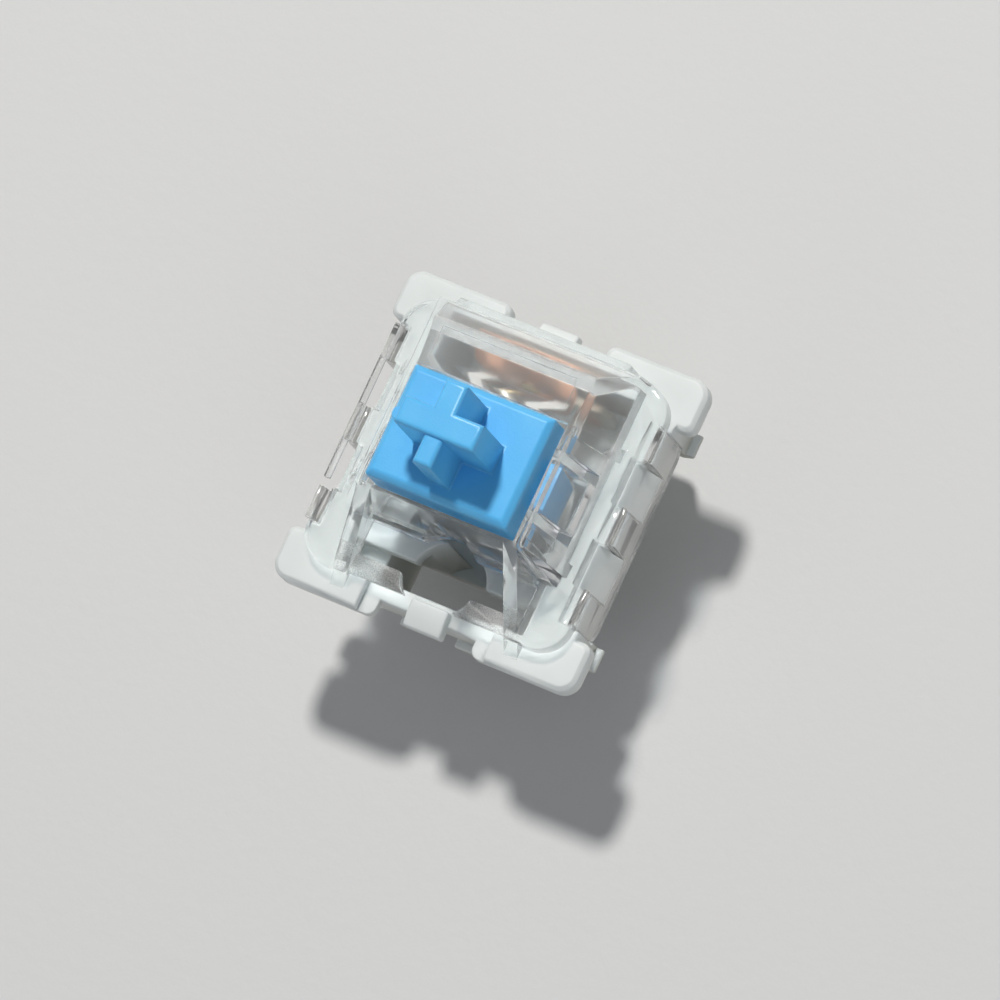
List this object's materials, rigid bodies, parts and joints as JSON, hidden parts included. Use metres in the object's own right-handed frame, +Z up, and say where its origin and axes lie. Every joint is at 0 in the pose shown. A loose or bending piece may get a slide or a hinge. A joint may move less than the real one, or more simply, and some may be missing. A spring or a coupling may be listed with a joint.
{
  "type": "mechanical keyboard switch",
  "caption": "Plate-mounted clicky key switch: milky base with corner flange pads, clear tower cover, sprung blue stem with a keycap cross, click jacket and contact leaf.",
  "frame": {"origin": "axis of the centre post, in the plane where the foot meets the circuit board", "axes": "+Z up along the stem; +Y towards the contacts and solder pins; -Y is the lamp window side; +X to the right seen from the lamp side"},
  "size_m": [0.0156, 0.0156, 0.0185],
  "materials": {
    "milky_plastic": "satin, slightly translucent",
    "clear_plastic": "polished clear plastic",
    "blue_plastic": "satin",
    "white_plastic": "satin",
    "spring_steel": "drawn wire",
    "terminal_metal": "tinned sheet",
    "copper_leaf": "bright copper alloy sheet",
    "contact_metal": "gold alloy"
  },
  "bodies": {
    "housing": {"bottom_housing": "milky_plastic", "top_housing": "clear_plastic", "fixed_contact": "terminal_metal", "fixed_contact_point": "contact_metal", "moving_contact_terminal": "terminal_metal", "return_spring": "spring_steel"},
    "stem": {"stem": "blue_plastic"},
    "click_jacket": {"click_jacket": "white_plastic"},
    "leaf": {"moving_contact_leaf": "copper_leaf", "moving_contact_point": "contact_metal"}
  },
  "joints": [
    {"name": "stem_travel", "type": "slide", "parent": "housing", "child": "stem", "axis": [0, 0, -1], "range_m": [0, 0.004], "stiffness_N_per_m": 62.5, "springref_m": -0.0056, "deforming": ["return_spring"]},
    {"name": "click_slip", "type": "slide", "parent": "stem", "child": "click_jacket", "axis": [0, 0, 1], "range_m": [0, 0.00085]},
    {"name": "leaf_flex", "type": "hinge", "parent": "housing", "child": "leaf", "pos_m": [0, 0.00487, 0.0013], "axis": [1, 0, 0], "range_deg": [0, 4.5]}
  ],
  "couplings": [
    {"joint": "leaf_flex", "follows": "stem_travel", "rad_per_m": 17.452}
  ]
}
